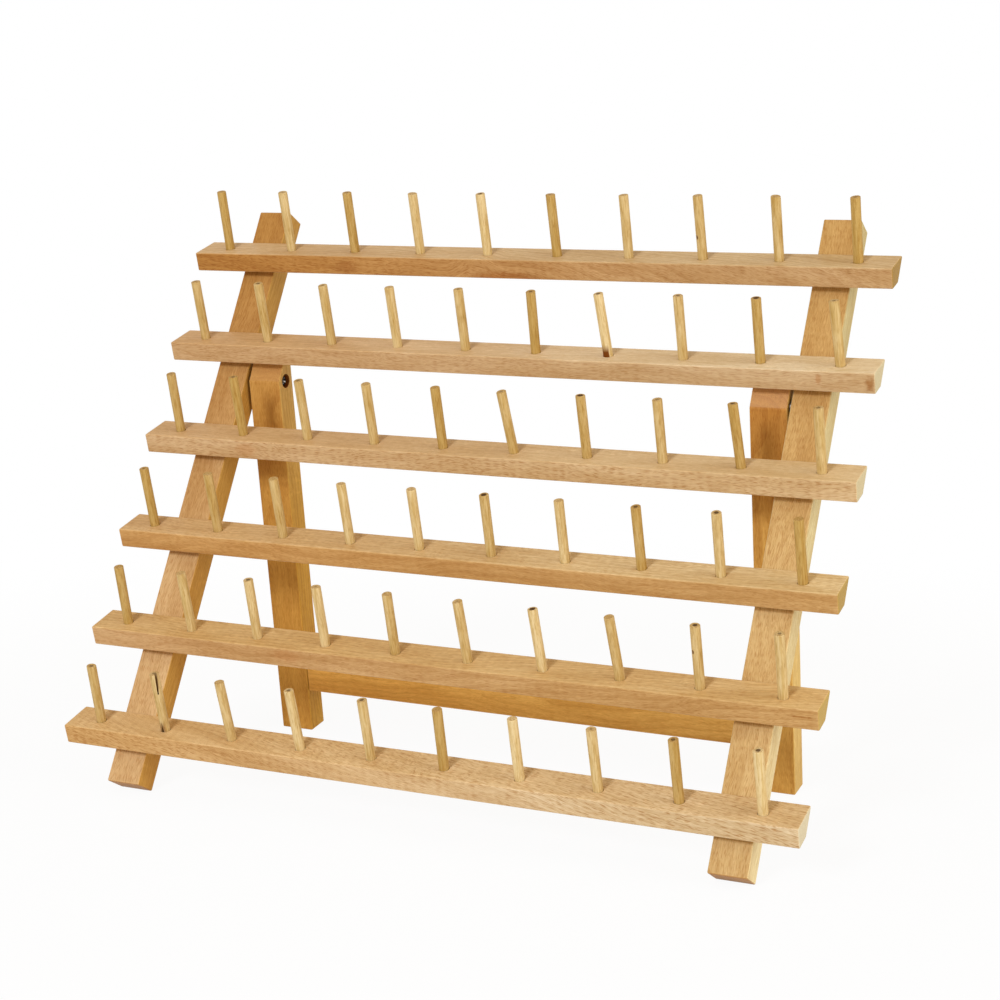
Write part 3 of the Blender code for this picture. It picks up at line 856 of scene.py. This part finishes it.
def leg_mesh(side):
    """A leg of the stand, with its grain along X."""
    strip = eased_prism("stand_leg_" + side, leg_outline(), STRIP_WIDTH, STRIP_EASE)
    bore = moved(pivot_hole("bore"), sideways(SIDES[side]))
    bore = moved(bore, Matrix.Translation((-SIDES[side] * PIVOT_SEAT, 0, 0)))
    mesh = without(strip, bore)
    reach = PIVOT_HEAD_DIAMETER / 2 + PIVOT_HEAD_CLEARANCE + MILLIMETRE / 10

    # Faces on the counterbore's walls are marked for painted shade in the wood's colour
    def in_bore(polygon):
        spot = polygon.center
        return 1.0 if math.hypot(spot.y, spot.z) < reach and abs(polygon.normal.x) < 0.9 else 0.0

    mark_faces(mesh, "bore_shade", in_bore)
    mesh = moved(mesh, UPENDED.inverted())
    chamfer = Vector((math.sin(OPEN_ANGLE), 0, -math.cos(OPEN_ANGLE)))
    mark_grain(mesh, ACROSS, [ALONG, ACROSS, UP, chamfer])
    return mesh


def crossbar_mesh():
    """The crossbar, which lies between the legs."""
    section = rectangle(STRIP_THICKNESS, STRIP_WIDTH)
    mesh = eased_prism("crossbar", section, CROSSBAR_LENGTH, STRIP_EASE)
    mark_grain(mesh, UP, [ALONG, ACROSS, UP])
    return mesh


def crack(top, tip, turn, wide, thin, shear):
    """A wedge that opens the side of a peg, wide at its top height and thin at its tip."""
    shape = bmesh.new()
    outline = ((shear - wide, top), (shear + wide, top), (thin - shear, tip), (-thin - shear, tip))
    near, far = (
        [shape.verts.new((x, -depth, z)) for x, z in outline] for depth in (CRACK_START, PEG_DIAMETER)
    )
    shape.faces.new(near)
    shape.faces.new(far)
    wall(shape, near, far)
    return moved(mesh_of("crack", shape), Matrix.Rotation(turn, 4, "Z"))


def dowel_mesh(name, chance, hollow, pit, cut):
    """A dowel of uneven girth, with a rough cut top and the hollow of its pith."""
    radius = PEG_DIAMETER / 2
    heights = [PEG_SEAT_GAP - PEG_SEAT_DEPTH]
    heights += [PEG_EXPOSED_LENGTH * share for share in PEG_RING_SHARES]
    heights += [PEG_EXPOSED_LENGTH - PEG_EASE]
    swell = [chance.uniform(-PEG_SWELL, PEG_SWELL) for _ in heights]
    slope = abs(cut + chance.uniform(-0.03, 0.03))
    way = chance.uniform(0, 2 * math.pi)
    shape = bmesh.new()
    rings = []

    def ring(ring_radius, height, tilted=1.0):
        points = []
        for index in range(PEG_SIDES):
            angle = 2 * math.pi * index / PEG_SIDES
            x, y = ring_radius * math.cos(angle), ring_radius * math.sin(angle)
            drop = tilted * slope * (radius + x * math.cos(way) + y * math.sin(way))
            points.append(shape.verts.new((x, y, height - drop)))
        rings.append(points)

    for height, bulge in zip(heights, swell):
        ring(radius + bulge, height, max(0.0, height / PEG_EXPOSED_LENGTH - 0.9) * 10)
    ring(radius - PEG_EASE, PEG_EXPOSED_LENGTH)
    ring(hollow * 1.15, PEG_EXPOSED_LENGTH - PEG_DIP)
    ring(hollow * 0.80, PEG_EXPOSED_LENGTH - 2 * PEG_DIP - PEG_PIT_DEPTH * pit)
    for lower, upper in zip(rings, rings[1:]):
        wall(shape, lower, upper)
    shape.faces.new(list(reversed(rings[0])))
    shape.faces.new(rings[-1])
    return mesh_of(name, shape)


def peg_mesh(name, chance, pit=0.0, darkening=0.0, tone=0.0, cut=0.0, split=False, knot=NO_KNOT):
    """A peg with its foot at the shelf's face, and what its wood needs to know of it."""
    radius = PEG_DIAMETER / 2
    top = PEG_EXPOSED_LENGTH
    hollow = radius * (0.25 + 0.30 * pit)
    mesh = dowel_mesh(name, chance, hollow, pit, cut)
    if split:
        mesh = without(mesh, crack(top + OVERRUN, top * (1 - TOP_CRACK_SHARE), **TOP_CRACK))
        mesh = without(mesh, crack(-PEG_SEAT_DEPTH / 2, top * FOOT_CRACK_SHARE, **FOOT_CRACK))
    seed = chance.uniform(0, 900)
    mark_faces(mesh, "seed", lambda polygon: seed)
    mark_faces(mesh, "tone", lambda polygon: tone)
    mark_faces(mesh, "knot", lambda polygon: knot)
    mark_faces(mesh, "end_grain", lambda polygon: 1.0 if polygon.normal.z > 0.7 else 0.0)

    # Faces in the pit of the pith are marked for painted shade
    def in_pit(polygon):
        spot = polygon.center
        inside = math.hypot(spot.x, spot.y) < hollow * 1.1 and spot.z > top * 0.8
        return min(1.0, 0.35 + pit) if inside and pit > 0 else 0.0

    mark_faces(mesh, "pit", in_pit)
    # A darker foot as noted for each peg, and painted shade on the faces inside the split peg's cracks
    layer = mesh.attributes.new("darkening", "FLOAT", "POINT")
    for vertex, item in zip(mesh.vertices, layer.data):
        spot = vertex.co
        low = spot.z < 0.09 * top and spot.x + spot.y < 0
        opened = split and spot.z < 0.97 * top and math.hypot(spot.x, spot.y) < 0.9 * radius
        item.value = max(darkening if low else 0.0, 1.0 if opened else 0.0)
    return mesh


# The rack

# Woods of the shelves. Face and flank are the colours of front and top at the left and the right
# end, each channel 0 to 255. Pith, bulges and marks are places in millimetres.
SHELF_WOOD = {
    1: dict(
        face=((184, 132, 67), (195, 159, 113)),
        flank=((213, 179, 132), (210, 181, 134)),
        end=(156, 123, 47),
        pith=(-60, 26),
        rings=0.35,
        flecks=(0.8, 0.15),
        slants=(0.05, 0.22),
        bulges=((-25, 18, 5.5),),
        marks=(
            ((-103, -19, -6), (9, 6, 5), (226, 206, 188), 0.7),
            ((-8, -20, -10), (26, 6, 5), (226, 196, 162), 0.8),
        ),
    ),
    2: dict(
        face=((196, 158, 112), (201, 170, 128)),
        flank=((210, 170, 120), (229, 207, 168)),
        end=(209, 200, 164),
        pith=(-90, -40),
        rings=0.15,
        flecks=(0.6, 0.12),
        marks=(
            ((197.5, -19.8, -5.5), (3.2, 3, 4.8), (206, 170, 124), 0.8),
            ((172, -20, -4), (2.0, 4, 3.6), (234, 208, 184), 0.8),
        ),
    ),
    3: dict(
        face=((203, 168, 123), (208, 177, 132)),
        flank=((208, 170, 121), (217, 188, 141)),
        end=(210, 200, 162),
        pith=(-75, -24),
        rings=0.12,
        flecks=(1.0, 0.2),
        marks=(((-136, -19, -5), (9, 6, 6), (246, 228, 214), 0.7),),
    ),
    4: dict(
        face=((196, 149, 89), (197, 156, 100)),
        flank=((213, 175, 122), (222, 194, 143)),
        end=(177, 148, 73),
        pith=(-80, 34),
        rings=0.25,
        flecks=(0.5, 0.55),
    ),
    5: dict(
        face=((205, 166, 117), (199, 159, 103)),
        flank=((216, 179, 121), (216, 181, 124)),
        end=(191, 163, 87),
        pith=(-95, 30),
        rings=0.3,
        flecks=(0.6, 0.5),
        slants=(0.0, -0.12),
        marks=(
            ((-80, -19, -4), (14, 6, 5), (240, 218, 200), 0.6),
            ((192, -19.8, -4), (9, 3, 0.7), (204, 164, 116), 0.7),
        ),
    ),
    6: dict(
        face=((209, 167, 109), (221, 198, 160)),
        flank=((222, 186, 131), (221, 193, 148)),
        end=(218, 210, 181),
        pith=(-44, -8),
        rings=0.25,
        flecks=(1.0, 0.9),
        slants=(0.24, 0.2),
    ),
}

# Pegs that stand out, by shelf and place: lean to the right in degrees, tone from -1 (deep) to 1
# (pale), how hollow and how dark at the foot, whether split, and the height of a knot in millimetres
PEG_NOTES = {
    (1, 1): dict(lean=1.3, tone=-1.0),
    (1, 3): dict(tone=-0.7),
    (1, 5): dict(tone=0.6),
    (1, 6): dict(tone=-0.8),
    (1, 8): dict(knot=12.0),
    (1, 10): dict(tone=-1.2),
    (2, 6): dict(lean=1.4, tone=-1.3),
    (2, 7): dict(lean=-3.8, tone=0.8, hollow=0.5, darkening=1.0),
    (2, 9): dict(tone=-0.5, hollow=0.9),
    (2, 10): dict(lean=-2.8, tone=-0.1, hollow=0.3),
    (3, 1): dict(lean=1.2, tone=-0.6),
    (3, 2): dict(tone=-1.0),
    (3, 5): dict(tone=-1.0),
    (3, 6): dict(lean=-5.2, tone=-0.3),
    (3, 7): dict(tone=-0.5, hollow=0.9),
    (3, 9): dict(lean=-3.2, tone=-0.8),
    (4, 1): dict(tone=-0.9),
    (4, 2): dict(tone=-0.5),
    (4, 6): dict(hollow=0.8),
    (4, 8): dict(tone=-0.8),
    (4, 10): dict(tone=-1.1),
    (5, 1): dict(lean=2.0, tone=-0.7),
    (5, 3): dict(lean=1.0),
    (5, 6): dict(lean=-2.2),
    (5, 7): dict(lean=-2.5, tone=0.6, hollow=0.9),
    (5, 8): dict(lean=-4.0),
    (5, 9): dict(knot=20.0),
    (5, 10): dict(tone=0.2),
    (6, 1): dict(lean=2.0),
    (6, 2): dict(tone=0.1, darkening=0.6, hollow=0.3, split=True),
    (6, 3): dict(lean=-1.8),
    (6, 4): dict(lean=-1.5, tone=0.5, hollow=0.4),
    (6, 6): dict(lean=1.4, tone=-0.8),
    (6, 7): dict(tone=0.9),
    (6, 9): dict(tone=-0.7),
    (6, 10): dict(tone=1.2, hollow=0.5),
}


def make_pegs(number, wood, chance):
    """The ten dowels of one shelf."""
    for index in range(1, PEGS_PER_SHELF + 1):
        lean = chance.uniform(-0.35, 0.35)
        tone = chance.uniform(-0.35, 0.35)
        hollow = max(0.0, chance.uniform(-0.5, 0.6))
        nod = chance.uniform(-0.4, 0.4)
        seen = PEG_NOTES.get((number, index), {})
        name = f"peg_{number}_{index}"
        mesh = peg_mesh(
            name,
            chance,
            pit=seen.get("hollow", hollow),
            darkening=seen.get("darkening", 0.0),
            tone=seen.get("tone", tone),
            cut=chance.uniform(-0.08, 0.08),
            split=seen.get("split", False),
            knot=seen.get("knot", NO_KNOT),
        )
        tilt = Euler((math.radians(nod), math.radians(seen.get("lean", lean)), 0))
        foot = Matrix.Translation((peg_x(index), -PEG_MIDDLE_DEPTH, 0))
        place = shelf_place(number) @ foot @ tilt.to_matrix().to_4x4()
        show(name, mesh, place, "front_frame", [f"shelf_{number}"], wood)


def make_shelves():
    """The six shelves and their sixty pegs."""
    dowel = dowel_wood("peg_birch", colour(224, 200, 149), colour(188, 154, 88), colour(158, 116, 68))
    chance = random.Random(60)
    for number in range(1, SHELF_COUNT + 1):
        wood = beech(f"shelf_beech_{number}", seed=number, length=SHELF_LENGTH, **SHELF_WOOD[number])
        node_name = f"shelf_{number}"
        board, place = shelf_mesh(number), shelf_place(number)
        show(node_name + "_board", board, place, "front_frame", [node_name], wood)
        make_pegs(number, dowel, chance)


# Woods of the uprights and the stand: the colours of front and sides at the foot and the head.
# Besides the wood's own colour these hold painted shade and light: the darker heads of the uprights
# and of the right leg are painted shade under the shelves, the deep sides of the left upright are
# painted shade, and the pale sides of the right upright are painted light, palest at the foot.
UPRIGHT_WOOD = {
    "left": dict(
        face=((211, 174, 124), (179, 129, 64)),
        flank=((210, 160, 76), (193, 149, 73)),
        end=(180, 126, 66),
        pith=(20, -80),
    ),
    "right": dict(
        face=((209, 175, 118), (194, 152, 90)),
        flank=((234, 217, 168), (202, 188, 137)),
        end=(182, 130, 72),
        pith=(-26, -80),
    ),
}
LEG_WOOD = {
    "left": dict(
        face=((206, 152, 68), (194, 148, 86)),
        flank=((213, 165, 68), (214, 187, 127)),
        end=(196, 146, 92),
        pith=(6, -110),
    ),
    "right": dict(
        face=((207, 159, 79), (162, 88, 22)),
        flank=((222, 189, 114), (226, 178, 99)),
        end=(214, 172, 128),
        pith=(-14, -60),
    ),
}
CROSSBAR_WOOD = dict(
    face=((236, 180, 90), (218, 169, 88)),
    flank=((204, 150, 78), (206, 152, 84)),
    end=(196, 150, 96),
    pith=(-70, 40),
    flecks=(0.3, 0.2),
)


def make_uprights(steel):
    """The uprights and the screws that hold the shelves."""
    screw = moved(countersunk_screw("shelf_screw", *SHELF_SCREW), BACKWARDS)
    for side in SIDES:
        wood = beech(
            "upright_beech_" + side,
            seed=20 + SIDES[side],
            length=UPRIGHT_LENGTH,
            rings=0.2,
            flecks=(0.65, 0.1),
            **UPRIGHT_WOOD[side],
        )
        middle = Vector((upright_x(side), STRIP_THICKNESS / 2, UPRIGHT_LENGTH / 2))
        place = FRONT @ Matrix.Translation(middle) @ UPENDED
        name = "upright_" + side
        show(name + "_strip", upright_mesh(side), place, "front_frame", [name], wood)
        for number in range(1, SHELF_COUNT + 1):
            height = shelf_height(number) - SHELF_SCREW_DROP
            head = Vector((upright_x(side), STRIP_THICKNESS - SCREW_HEAD_SINK, height))
            name = f"shelf_screw_{side}_{number}"
            place = FRONT @ Matrix.Translation(head)
            show(name + "_steel", screw.copy(), place, "front_frame", [name], steel)


def make_stand():
    """The legs and the crossbar."""
    leg_length = LEG_ABOVE_PIVOT + LEG_BELOW_PIVOT
    for side in SIDES:
        wood = beech(
            "stand_beech_" + side,
            seed=30 + SIDES[side],
            length=leg_length,
            rings=0.4,
            flecks=(0.5, 0.1),
            **LEG_WOOD[side],
        )
        name = "stand_leg_" + side
        place = HINGE @ Matrix.Translation((leg_x(side), 0, 0)) @ UPENDED
        show(name + "_strip", leg_mesh(side), place, "rear_stand", [name], wood)
    wood = beech("stand_beech_crossbar", seed=33, length=CROSSBAR_LENGTH, **CROSSBAR_WOOD)
    place = HINGE @ Matrix.Translation((UPRIGHT_SHIFT, 0, CROSSBAR_HEIGHT))
    show("crossbar_strip", crossbar_mesh(), place, "rear_stand", ["crossbar"], wood)


def make_pivots(steel, dull):
    """The screws that the stand turns on, with their washers."""
    for side in SIDES:
        screw = moved(pan_screw("pivot_screw"), sideways(SIDES[side]))
        seat_x = leg_x(side) - SIDES[side] * PIVOT_SEAT
        name = "pivot_screw_" + side
        place = FRONT @ Matrix.Translation((seat_x, STRIP_THICKNESS / 2, PIVOT_HEIGHT))
        show(name + "_steel", screw, place, "front_frame", [name], steel)
        ring_x = leg_x(side) + SIDES[side] * (STRIP_WIDTH + HINGE_GAP) / 2
        name = "pivot_washer_" + side
        place = FRONT @ Matrix.Translation((ring_x, STRIP_THICKNESS / 2, PIVOT_HEIGHT))
        # The washer's dark steel paints the shade in the hinge gap
        show(name + "_steel", washer(name), place, "front_frame", [name], dull)


# The camera, the lamps with their sizes and powers in watts, the fill light and the floor
CAMERA_PLACE = (0.4484, -0.9264, 0.3394)
CAMERA_TURN = (79.778, 0.349, 25.118)
CAMERA_LENS = 73.32
LAMP_TARGET = (0, 0, 0.15)
LAMPS = {
    "key": dict(place=(-0.17, -1.94, 1.10), size=0.4, watts=24, tint=(0.92, 1.02, 1.20)),
    "right": dict(place=(2.0, -0.3, 0.8), size=1.4, watts=20, tint=(1.0, 1.0, 1.0)),
}
FILL_STRENGTH = 0.58
FILL_TINT = (1.0, 0.86, 0.66, 1.0)
# The floor is this white where it is seen, to the near distance, and pure white from the far one
FLOOR_WHITE_SHARE = 0.93
FLOOR_NEAR, FLOOR_FAR = 0.25, 0.70


def make_camera():
    """The photograph's view, about a metre away and 26 degrees to the right."""
    data = bpy.data.cameras.new("camera")
    data.lens = CAMERA_LENS
    camera = new_object("camera", data)
    camera.location = CAMERA_PLACE
    camera.rotation_euler = [math.radians(angle) for angle in CAMERA_TURN]
    bpy.context.scene.camera = camera


def make_lamp(name, place, size, watts, tint):
    """A square soft lamp that points at the middle of the rack."""
    data = bpy.data.lights.new(name, "AREA")
    data.size = size
    data.energy = watts
    data.color = tint
    lamp = new_object(name, data)
    lamp.location = place
    aim = Vector(LAMP_TARGET) - Vector(place)
    lamp.rotation_euler = aim.to_track_quat("-Z", "Y").to_euler()


def seen_rays(tree):
    """1 for the rays that see the stage itself: from the camera, and through gloss and glass."""
    path = node(tree, "ShaderNodeLightPath")
    direct = maths(tree, "MAXIMUM", path.outputs["Is Camera Ray"], path.outputs["Is Glossy Ray"])
    return maths(tree, "MAXIMUM", direct, path.outputs["Is Transmission Ray"])


def make_world():
    """Plain white all round where it is seen, and a soft fill light everywhere else."""
    world = bpy.data.worlds.new("white_room")
    world.use_nodes = True
    bpy.context.scene.world = world
    tree = world.node_tree
    background = tree.nodes["Background"]
    seen = seen_rays(tree)
    tree.links.new(blend(tree, seen, FILL_TINT, (1, 1, 1, 1)), background.inputs["Color"])
    level = maths(tree, "MULTIPLY", seen, 1 - FILL_STRENGTH)
    tree.links.new(maths(tree, "ADD", level, FILL_STRENGTH), background.inputs["Strength"])


def make_floor():
    """A large plain floor that keeps the rack's soft shadow, and turns pure white further off."""
    shape = bmesh.new()
    bmesh.ops.create_grid(shape, x_segments=1, y_segments=1, size=4)
    mesh = mesh_of("floor", shape)
    material, tree, shader = new_material("floor_white")
    spot = node(tree, "ShaderNodeTexCoord").outputs["Object"]
    grain = stretched_noise(tree, spot, (40, 40, 40))
    shade = blend(tree, grain, (0.86, 0.86, 0.86, 1), (0.90, 0.90, 0.90, 1))
    tree.links.new(shade, shader.inputs["Base Color"])
    shader.inputs["Roughness"].default_value = 0.8
    shader.inputs["Specular IOR Level"].default_value = 0.0
    glow = node(tree, "ShaderNodeEmission", {"Color": (1, 1, 1, 1), "Strength": 1.0})
    away = length_of(tree, spot)
    share = eased_step(tree, away, FLOOR_NEAR, FLOOR_FAR, FLOOR_WHITE_SHARE, 1.0)
    share = maths(tree, "MULTIPLY", seen_rays(tree), share)
    mixed = node(tree, "ShaderNodeMixShader", {0: share, 1: shader.outputs[0], 2: glow.outputs[0]})
    tree.links.new(mixed.outputs[0], tree.nodes["Material Output"].inputs["Surface"])
    mesh.materials.append(material)
    new_object("floor", mesh)


def main():
    """Builds the dressed rack and its stage."""
    make_shelves()
    steel = plated_steel("screw_steel", colour(196, 194, 188), colour(150, 146, 138))
    # Dark steel for the washers: painted shade for the gap between upright and leg
    dull = plated_steel("washer_steel", colour(104, 92, 78), colour(78, 68, 58))
    # Near white for the painted glint in the pivot screws' recesses
    glint_white = colour(236, 234, 230)
    # Black steel for the pivot screws; the dark head also paints the shade in its counterbore
    dark_pivot_steel = plated_steel("pivot_steel", colour(64, 60, 56), colour(42, 40, 38), glint_white)
    make_uprights(steel)
    make_stand()
    make_pivots(dark_pivot_steel, dull)
    make_camera()
    make_world()
    for name, settings in LAMPS.items():
        make_lamp(name, **settings)
    make_floor()
    bpy.context.scene.view_settings.view_transform = "Standard"


main()
